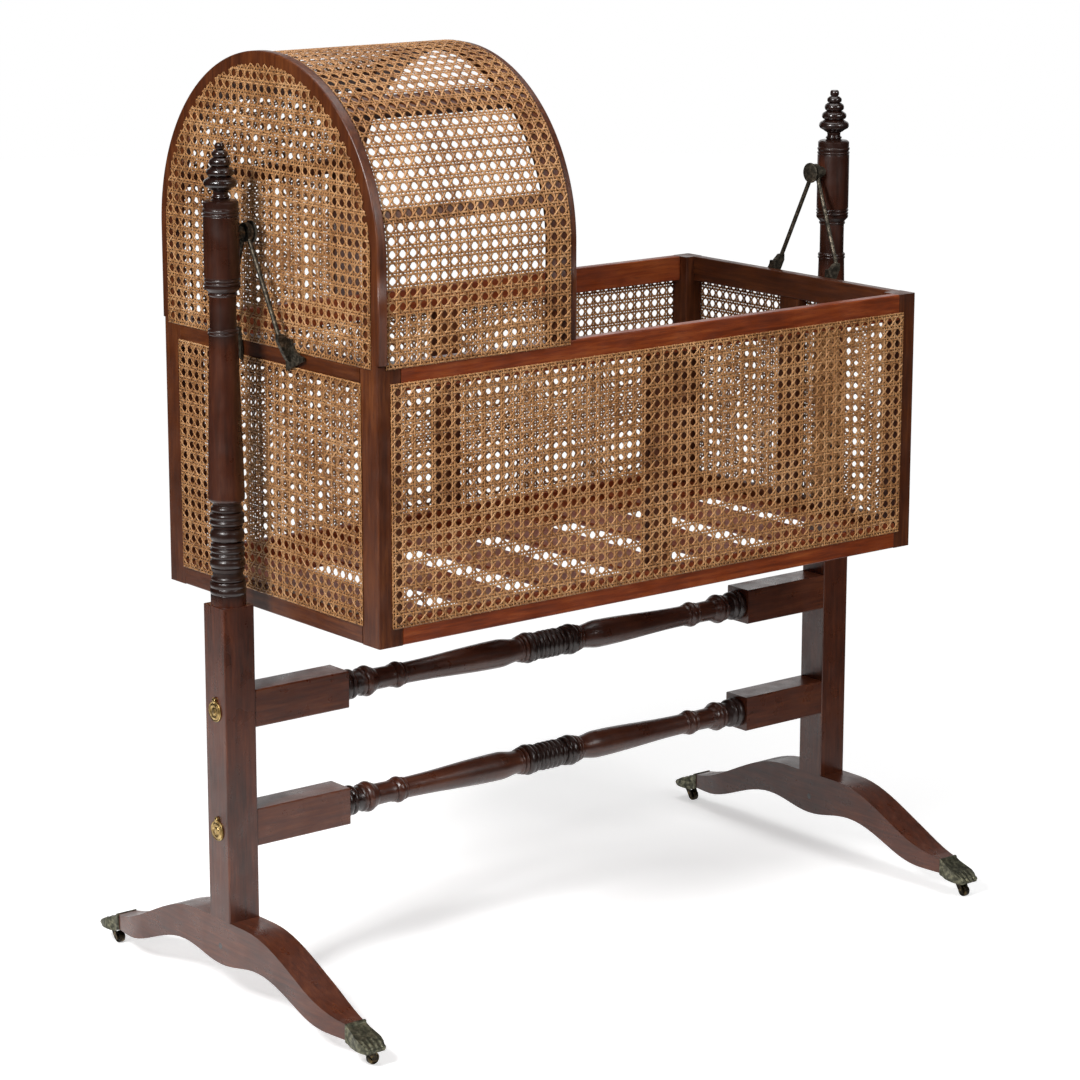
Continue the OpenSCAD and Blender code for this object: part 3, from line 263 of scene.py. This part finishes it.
cane = splitCane(caneLook)
metals = {key: agedMetal(look) for key, look in metalLooks.items()}
woodLooks = dict(dark=darkWood, red=redWood, brown=brownWood, turned=turnedWood)
woods = {(key, axis): mahogany(look, axis) for axis in "XYZ" for key, look in woodLooks.items()}

nodeWood = {  # by the start of a node's name: which wood, and the way its grain runs
    "foot_": ("dark", "Y"), "upright_": ("dark", "Z"), "finial_": ("turned", "Z"),
    "stretcher_": ("dark", "X"), "stile_": ("brown", "Z"), "side_bottom": ("red", "X"),
    "side_top": ("red", "X"), "end_bottom": ("brown", "Y"), "end_mid": ("brown", "Y"),
    "end_top": ("brown", "Y"), "side_muntins": ("brown", "Z"), "end_muntin": ("brown", "Z"),
    "slat_": ("red", "X"), "bottom_slats": ("red", "Y"), "hood_hoop": ("brown", "Z"),
    "hood_battens": ("brown", "X"), "foot_dowels": ("turned", "X")}
nodeMetal = {
    "hanger": "iron", "pivot_pin": "iron", "bed_": "iron", "cover_pins": "brass",
    "bolt_cover": "brass", "castor": "castor", "toe_cap": "bronze"}
finishes = {start: woods[key] for start, key in nodeWood.items()}
finishes.update({start: metals[key] for start, key in nodeMetal.items()})

for name, obj in nodes.items():
    finish = cane
    for start, material in finishes.items():
        if name.startswith(start):
            finish = material
    if not obj.material_slots:
        obj.data.materials.append(finish)
    for part in obj.material_slots:
        part.material = finish
print("materials are on the CAD nodes")

smoothing = dict(
    limit=48,  # degrees: a steeper edge between two faces stays crisp
    mergeDecimals=6)  # points that are the same to this many places of a metre are one
ringBands = dict(  # axis, mm from the middle along X or above the floor, and how near black
    stretcher_=(0, [40, 46, 312, 318, 345.5, 346], [1, 0.4, 0.4, 1, 1, 0]),
    upright_=(2, [526, 527, 655, 664, 866, 868, 877, 879, 914, 918, 939, 942, 1012, 1015],
              [0, 1, 1, 0.42, 0.42, 0.9, 0.9, 0.3, 0.3, 0.9, 0.9, 0, 0, 0.9]))


# A piece of triangles. Each face corner's normal is the sum of the normals of the faces round that
# vertex that lie within the limit of its own, each weighted by its area, so that turned wood
# shines without facets and broad faces stay flat.
def smoothPiece(name, keys, faces, node):
    a, b, c = keys[faces[:, 0]], keys[faces[:, 1]], keys[faces[:, 2]]
    areaNormal = np.cross(b - a, c - a)
    unit = areaNormal / np.maximum(np.linalg.norm(areaNormal, axis=1), tiny)[:, None]
    order = np.argsort(faces.ravel(), kind="stable")
    vertex = faces.ravel()[order]
    count = np.bincount(vertex, minlength=len(keys))
    first = np.cumsum(count) - count
    many = count[vertex]
    left = np.repeat(np.arange(len(vertex)), many)
    within = np.arange(len(left)) - np.repeat(np.cumsum(many) - many, many)
    right = np.repeat(first[vertex], many) + within
    faceLeft, faceRight = order[left] // 3, order[right] // 3
    leastCosine = math.cos(math.radians(smoothing["limit"]))
    close = (unit[faceLeft] * unit[faceRight]).sum(1) > leastCosine
    normal = np.zeros((faces.size, 3))
    for axis in range(3):
        share = areaNormal[faceRight[close], axis]
        normal[:, axis] = np.bincount(order[left[close]], weights=share, minlength=faces.size)
    normal /= np.maximum(np.linalg.norm(normal, axis=1), tiny)[:, None]
    material = nodes[node].material_slots[0].material
    piece = newPiece(name, keys, faces, material, bodyOf[node])
    piece.data.normals_split_custom_set(normal.tolist())
    for start, (axis, places, shares) in ringBands.items():
        if node.startswith(start):
            setAttribute(piece, "polish", np.interp(abs(keys[:, axis]) / mm, places, shares))
    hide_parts(node)


# a CAD node's own surface with its doubles merged
def smoothSkin(node):
    source = nodes[node].data
    points = np.empty(len(source.vertices) * 3)
    source.vertices.foreach_get("co", points)
    corners = np.empty(len(source.loops), np.int32)
    source.loops.foreach_get("vertex_index", corners)
    rounded = np.round(points.reshape(-1, 3), smoothing["mergeDecimals"])
    keys, back = np.unique(rounded, axis=0, return_inverse=True)
    faces = back.ravel()[corners].reshape(-1, 3)
    whole = (faces != np.roll(faces, -1, axis=1)).all(1)
    smoothPiece(node + "_skin", keys, faces[whole], node)


hoopBend = dict(foot=854.05, spring=975, cornerSteps=5, arcSteps=97)  # mm above the floor; counts
hoopBoards = dict(  # mm: from low to high along X, inner and outer radius, rounding of the edges
    hood_hoop_head=(-450, -436, 202, 237, 2.5),
    hood_hoop_mouth=(-186, -142, 224, 233, 1.6))


# A hoop bent of one board: a rectangle with rounded corners, swept up one leg, over the half
# circle and down the other leg. Every ring has the same corners, and the ends are closed.
def bentHoop(node, low, high, inner, outer, rounding):
    spring, steps = hoopBend["spring"], hoopBend["cornerSteps"]
    around = 4 * steps
    quarters = [start + np.linspace(0, 90, steps) for start in (0, 90, 180, 270)]
    turn = np.radians(np.concatenate(quarters))
    sides = np.repeat([(1, 1), (0, 1), (0, 0), (1, 0)], steps, axis=0)
    flatWidth, flatDepth = high - low - 2 * rounding, outer - inner - 2 * rounding
    across = low + rounding + sides[:, 0] * flatWidth + rounding * np.cos(turn)
    radius = inner + rounding + sides[:, 1] * flatDepth + rounding * np.sin(turn)
    arc = np.linspace(0, math.pi, hoopBend["arcSteps"])[1:-1]
    angle = np.concatenate([[0, 0], arc, [math.pi, math.pi]])[:, None]
    drop = np.zeros_like(angle)
    drop[0] = drop[-1] = spring - hoopBend["foot"]
    points = np.stack([
        np.broadcast_to(across, (len(angle), around)), -radius * np.cos(angle),
        spring + radius * np.sin(angle) - drop], -1)
    ring, along = np.arange(around), around * np.arange(len(angle) - 1)[:, None]
    after = (ring + 1) % around
    walls = np.stack([
        along + ring, along + after, along + around + after, along + around + ring], -1)
    i = np.arange(around // 2 - 1)
    cap = np.stack([i, i + 1, around - 2 - i, around - 1 - i], -1)
    endCap = cap[:, ::-1] + around * (len(angle) - 1)
    quads = np.concatenate([walls.reshape(-1, 4), cap, endCap])
    faces = np.concatenate([quads[:, [0, 1, 2]], quads[:, [0, 2, 3]]])[:, ::-1]
    smoothPiece(node + "_skin", points.reshape(-1, 3) * mm, faces, node)


# nodes that stay plain, because they are hidden or flat, or have a piece of their own
plainStarts = ("cane_", "bed_", "foot_dowels", "hanger_screws", "hood_hoop")
for name in nodes:
    if not name.startswith(plainStarts):
        smoothSkin(name)
for name, board in hoopBoards.items():
    bentHoop(name, *board)
print("turned pieces are smooth")

caneWeave = dict(  # mm
    pairOffset=1.9,  # from a pair's middle to each of its two strands
    strandWidth=2.6, diagonalWidth=2.7, strandThick=0.6,
    straightRise=0.35, diagonalRise=0.4,  # how far strands rise and dip
    diagonalHold=2.6,  # how far a diagonal stays up beside a crossing
    sheetMiddle=1.0,  # from the wood to the middle of the weave
    edgePair=3.2,  # from a panel's edge to the middle of the pair that runs along it
    raggedEnd=0.9, wander=0.12, clipStep=0.4)
caneTone = (0.25, 0.75)  # each strand's place on the material's tones lies between these
leastStep, leastStrand = 1e-4, 0.02  # in lattice steps: closer stations and shorter strands go


# Lens-shaped bars along straight lines of the lattice. In lattice units a point is start + s
# times step. Each bar's height is a trapezoid wave of s, its ends are cut where the panel ends,
# and its section has four corners: two on its edges and two half its thickness above and below.
def strandFamily(starts, step, wave, rise, width, panel, pitch, rng):
    weave = caneWeave
    pitch, corner = np.array(pitch), np.array(panel["box"][0]) + weave["edgePair"]
    step = np.array(step, float)
    reach = panel["reach"]
    fine = np.arange(reach[0], reach[1], weave["clipStep"] / pitch.min())
    points = corner + (starts[:, None, :] + fine[None, :, None] * step) * pitch
    hit = panel["inside"](points[..., 0], points[..., 1])
    used = hit.any(1)
    starts, rise, hit = starts[used], rise[used], hit[used]
    perStep = np.linalg.norm(step * pitch)
    trim = rng.uniform(0, weave["raggedEnd"], (2, len(starts))) / perStep
    low = fine[hit.argmax(1)] + trim[0]
    high = fine[hit.shape[1] - 1 - hit[:, ::-1].argmax(1)] - trim[1]
    steps = np.arange(math.floor(reach[0]), math.ceil(reach[1]))
    stations = (steps[:, None] + np.array(wave[0][1:-1])).ravel()
    s = np.clip(stations[None, :], low[:, None], high[:, None])
    height = rise[:, None] * np.interp(s % 1.0, wave[0], wave[1])
    keep = np.ones(s.shape, bool)
    keep[:, 1:] = np.diff(s, axis=1) > leastStep
    keep[(high - low) < leastStrand] = False
    line = np.broadcast_to(np.arange(len(starts))[:, None], s.shape)[keep]
    middle = corner + ((starts[:, None, :] + s[..., None] * step) * pitch)[keep]
    height = height[keep]
    along = step * pitch / perStep
    across = np.array([-1, 0, 1, 0]) * width / 2
    lift = np.array([0, 1, 0, -1]) * weave["strandThick"] / 2
    u = middle[:, None, 0] - across * along[1]
    v = middle[:, None, 1] + across * along[0]
    h = height[:, None] + lift
    tone = np.repeat(rng.uniform(*caneTone, len(starts))[line], 4)
    joined = 4 * np.nonzero(line[1:] == line[:-1])[0][:, None]
    ring = np.arange(4)
    after = (ring + 1) % 4
    walls = np.stack([joined + ring, joined + after, joined + 4 + after, joined + 4 + ring], -1)
    first = np.nonzero(np.r_[True, line[1:] != line[:-1]])[0]
    last = np.nonzero(np.r_[line[1:] != line[:-1], True])[0]
    faces = np.concatenate([
        walls.reshape(-1, 4), 4 * first[:, None] + ring[::-1], 4 * last[:, None] + ring])
    return np.stack([u.ravel(), v.ravel(), h.ravel()], 1), faces, tone


# A straight strand's wave: level 0 where pairs cross, up and then down between them.
def pairWave(d):
    return [0, d, 0.5 - d, 0.5 + d, 1 - d, 1], [0, 1, 1, -1, -1, 0]


# The six-way weave: pairs up and across, and single diagonals both ways through their crossings.
# The lattice is drawn out a little, so that a pair of strands runs along each straight edge.
def weavePanel(name, panel, pitch, seed):
    weave = caneWeave
    rng = np.random.default_rng(seed)
    lo, hi = np.array(panel["box"], float) + np.array([[1], [-1]]) * weave["edgePair"]
    meshes = np.round((hi - lo) / pitch)
    pitch = pu, pv = (hi - lo) / meshes
    du, dv = weave["pairOffset"] / pu, weave["pairOffset"] / pv
    a, b = (np.arange(-1, count + 2) for count in meshes)
    signs = np.array([-1, 1])
    jitter = weave["wander"] / pu

    upA = (a[:, None] + signs * du).ravel() + rng.normal(0, jitter, 2 * len(a))
    upRise = np.tile(signs, len(a)) * weave["straightRise"]
    panel["reach"] = (b[0], b[-1])
    up = strandFamily(
        np.stack([upA, np.zeros_like(upA)], 1), (0, 1), pairWave(dv), upRise,
        weave["strandWidth"], panel, pitch, rng)
    acrossB = (b[:, None] + signs * dv).ravel() + rng.normal(0, jitter, 2 * len(b))
    acrossRise = np.tile(-signs, len(b)) * weave["straightRise"]
    panel["reach"] = (a[0], a[-1])
    across = strandFamily(
        np.stack([np.zeros_like(acrossB), acrossB], 1), (1, 0), pairWave(du), acrossRise,
        weave["strandWidth"], panel, pitch, rng)
    hold = weave["diagonalHold"] / pu
    diagonalWave = [0, hold, 0.5 - hold, 0.5 + hold, 1 - hold, 1], [1, 1, -1, -1, 1, 1]
    diagonals = []
    for slope, low, high in ((1, b[0] - a[-1], b[-1] - a[0]), (-1, b[0] + a[0], b[-1] + a[-1])):
        k = np.arange(low, high)
        offset = k + 0.5 + rng.normal(0, jitter, len(k))
        diagonalRise = np.full(len(k), slope * weave["diagonalRise"])
        diagonals.append(strandFamily(
            np.stack([np.zeros(len(k)), offset], 1), (1, slope), diagonalWave, diagonalRise,
            weave["diagonalWidth"], panel, pitch, rng))
    for kind, parts in (("straight", [up, across]), ("diagonal", diagonals)):
        sizes = np.cumsum([0] + [len(p[0]) for p in parts])
        flat = np.concatenate([p[0] for p in parts])
        faces = np.concatenate([p[1] + n for p, n in zip(parts, sizes)])
        placed = panel["place"](flat[:, 0], flat[:, 1], flat[:, 2] + weave["sheetMiddle"])
        if panel["mirrored"]:
            faces = faces[:, ::-1]
        piece = newPiece(f"{name}_strands_{kind}", placed * mm, faces, cane, bodyOf[name])
        setAttribute(piece, "tone", np.concatenate([p[2] for p in parts]))
        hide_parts(name)


cradleSize = dict(  # mm
    halfLength=450, halfWidth=233, archStart=975, archRadius=222, hoodFoot=848, hoodGap=0.15)
flatPitch, hoodPitch = (15.3, 15.3), (15.2, 15.9)
archStart, archRadius = cradleSize["archStart"], cradleSize["archRadius"]
hoodFoot = cradleSize["hoodFoot"]
hoodInner = cradleSize["halfWidth"] + cradleSize["hoodGap"]
hoodMiddle = hoodInner + caneWeave["sheetMiddle"]
hoodStraight = archStart - hoodFoot
hoodTurn = math.pi * hoodMiddle


# A flat panel in the end or side frames: u and v run along it, and h outwards.
def onEnd(side):
    return lambda u, v, h: np.stack([side * (cradleSize["halfLength"] + h), u, v], 1)


def onSide(side):
    return lambda u, v, h: np.stack([u, side * (cradleSize["halfWidth"] + h), v], 1)


# Round the hood: v runs up the front, over the half circle and down the back.
def roundHood(x, v, h):
    angle = np.clip((v - hoodStraight) / hoodMiddle, 0, math.pi)
    below = np.minimum(v - hoodStraight, 0) + np.minimum(hoodStraight + hoodTurn - v, 0)
    radius = hoodInner + h
    return np.stack([x, -radius * np.cos(angle), archStart + radius * np.sin(angle) + below], 1)


# Whether points lie on a panel: between its corners, or under the arch and between its legs.
def insideBox(box):
    (u0, v0), (u1, v1) = box
    return lambda u, v: (u > u0) & (u < u1) & (v > v0) & (v < v1)


def insideArch(y, z):
    upper = (y ** 2 + (z - archStart) ** 2 < archRadius ** 2) & (z >= archStart)
    return upper | ((abs(y) < archRadius) & (z > hoodFoot) & (z < archStart))


# Panels in mm: their corners, how they are put in place, and whether that mirrors them.
panels = dict(
    cane_front=dict(box=((-431, 526), (428, 830)), place=onSide(-1), mirrored=False),
    cane_back=dict(box=((-431, 526), (428, 830)), place=onSide(1), mirrored=True),
    cane_head_lower=dict(box=((-200, 527), (200, 829)), place=onEnd(-1), mirrored=True),
    cane_open_end=dict(box=((-206, 527), (206, 829)), place=onEnd(1), mirrored=False),
    cane_head_arch=dict(
        box=((-archRadius, hoodFoot), (archRadius, 1192)), place=onEnd(-1), mirrored=True,
        inside=insideArch),
    cane_hood_cover=dict(
        box=((-438, 0), (-152, 2 * hoodStraight + hoodTurn)), place=roundHood, mirrored=False))
for seed, (name, panel) in enumerate(panels.items()):
    panel.setdefault("inside", insideBox(panel["box"]))
    weavePanel(name, panel, hoodPitch if name == "cane_hood_cover" else flatPitch, seed)
print("cane is woven")

roomLook = dict(
    worldLight=0.1, shineLight=0.03, cameraGlow=0.5, shineGlow=0.6,
    paper="#ececec", farPaper="#4a4a4a", paperMiddle=(-0.6, 0.3, 0), nearReach=1.0, farReach=1.85,
    floorReach=9, wallRadius=8.9, wallHeight=4.6, wallTurn=(12, 88), wallSteps=12)  # m, degrees
white = (1, 1, 1, 1)


# a stage piece with an empty material, whose tree it gives back
def stagePiece(name, points, faces):
    mesh = bpy.data.meshes.new(name)
    mesh.from_pydata(points, [], faces)
    piece = bpy.data.objects.new(name, mesh)
    scene.collection.objects.link(piece)
    material = bpy.data.materials.new(name + "Paper")
    material.use_nodes = True
    material.node_tree.nodes.clear()
    mesh.materials.append(material)
    return material.node_tree


# The floor's paper is pale round the object and darker far out, so that polished faces mirror a
# pale floor low down and a dim room higher up; the camera sees it white all over.
far = roomLook["floorReach"]
floorPoints = [(-far, -far, 0), (far, -far, 0), (far, far, 0), (-far, far, 0)]
tree = stagePiece("floor", floorPoints, [(0, 1, 2, 3)])
place = addNode(tree, "TexCoord").outputs["Object"]
distance = addNode(tree, "VectorMath", {
    0: place, 1: roomLook["paperMiddle"]}, operation="DISTANCE").outputs["Value"]
near = addNode(tree, "MapRange", {
    "Value": distance, "From Min": roomLook["nearReach"], "From Max": roomLook["farReach"],
    "To Min": 1.0, "To Max": 0.0}, interpolation_type="SMOOTHSTEP").outputs[0]
paths = addNode(tree, "LightPath").outputs
cameraLevel = addNode(tree, "MapRange", {
    "Value": near, "To Min": 1.0, "To Max": roomLook["cameraGlow"]}).outputs[0]
cameraGlow = addNode(tree, "Math", {
    0: paths["Is Camera Ray"], 1: cameraLevel}, operation="MULTIPLY").outputs[0]
shine = addNode(tree, "Math", {0: near, 1: roomLook["shineGlow"]}, operation="MULTIPLY").outputs[0]
shineGlow = addNode(tree, "Math", {
    0: paths["Is Glossy Ray"], 1: shine}, operation="MULTIPLY").outputs[0]
glow = addNode(tree, "Math", {0: cameraGlow, 1: shineGlow}, operation="ADD").outputs[0]
paper = addNode(tree, "Mix", {
    "Factor": near, "A": colour(roomLook["farPaper"]), "B": colour(roomLook["paper"])},
    data_type="RGBA").outputs["Result"]
matte = addNode(tree, "BsdfDiffuse", {"Color": paper}).outputs[0]
lit = addNode(tree, "Emission", {"Color": white, "Strength": glow}).outputs[0]
both = addNode(tree, "AddShader", {0: matte, 1: lit}).outputs[0]
addNode(tree, "OutputMaterial", {"Surface": both})

# a low white wall far behind the object, which only its tops mirror
steps = roomLook["wallSteps"]
turn = np.radians(np.linspace(*roomLook["wallTurn"], steps + 1))
foot = (np.stack([np.cos(turn), np.sin(turn)], 1) * roomLook["wallRadius"]).tolist()
wallPoints = [(x, y, z) for z in (0.0, roomLook["wallHeight"]) for x, y in foot]
wallFaces = [(i, i + 1, i + steps + 2, i + steps + 1) for i in range(steps)]
tree = stagePiece("backdrop", wallPoints, wallFaces)
paths = addNode(tree, "LightPath").outputs
seen = addNode(tree, "Math", {
    0: paths["Is Camera Ray"], 1: paths["Is Glossy Ray"]}, operation="MAXIMUM").outputs[0]
level = addNode(tree, "MapRange", {
    "Value": seen, "To Min": roomLook["worldLight"], "To Max": 1.0}).outputs[0]
lit = addNode(tree, "Emission", {"Color": white, "Strength": level}).outputs[0]
addNode(tree, "OutputMaterial", {"Surface": lit})

# the world: white to the camera, dim as light and dimmer still in reflections
world = bpy.data.worlds.new("studio")
scene.world = world
world.use_nodes = True
tree = world.node_tree
tree.nodes.clear()
paths = addNode(tree, "LightPath").outputs
seen = addNode(tree, "Math", {
    0: paths["Is Camera Ray"], 1: paths["Is Transmission Ray"]}, operation="MAXIMUM").outputs[0]
dim = addNode(tree, "MapRange", {
    "Value": paths["Is Glossy Ray"], "To Min": roomLook["worldLight"],
    "To Max": roomLook["shineLight"]}).outputs[0]
level = addNode(tree, "MapRange", {"Value": seen, "To Min": dim, "To Max": 1.0}).outputs[0]
sky = addNode(tree, "Background", {"Color": white, "Strength": level}).outputs[0]
addNode(tree, "OutputWorld", {"Surface": sky})

softboxes = dict(  # m and W
    keyLight=dict(place=(-2.7, -0.86, 2.39), target=(0, 0, 0.7), side=0.65, power=100),
    fillLight=dict(place=(0.7, -3.1, 2.3), target=(0, 0, 0.6), side=1.0, power=48),
    topLight=dict(place=(0.3, 0.2, 3.4), target=(0, 0, 0.7), side=2.0, power=36))
for name, box in softboxes.items():
    light = bpy.data.lights.new(name, "AREA")
    light.shape, light.size, light.energy = "SQUARE", box["side"], box["power"]
    lamp = bpy.data.objects.new(name, light)
    lamp.location = box["place"]
    aim = Vector(box["target"]) - Vector(box["place"])
    lamp.rotation_euler = aim.to_track_quat("-Z", "Y").to_euler()
    scene.collection.objects.link(lamp)

photoView = dict(
    place=(-2.85693, -3.54068, 1.59393), turn=-38.77, tilt=76.882, roll=0.063,  # m, degrees
    lens=115.85, film=36)  # mm
camera = bpy.data.objects.new("camera", bpy.data.cameras.new("camera"))
camera.data.lens, camera.data.sensor_width = photoView["lens"], photoView["film"]
camera.matrix_world = (
    Matrix.Translation(photoView["place"])
    @ Matrix.Rotation(math.radians(photoView["turn"]), 4, "Z")
    @ Matrix.Rotation(math.radians(photoView["tilt"]), 4, "X")
    @ Matrix.Rotation(math.radians(photoView["roll"]), 4, "Z"))
scene.collection.objects.link(camera)
scene.camera = camera
scene.view_settings.view_transform = "Standard"
print("light and camera are set")
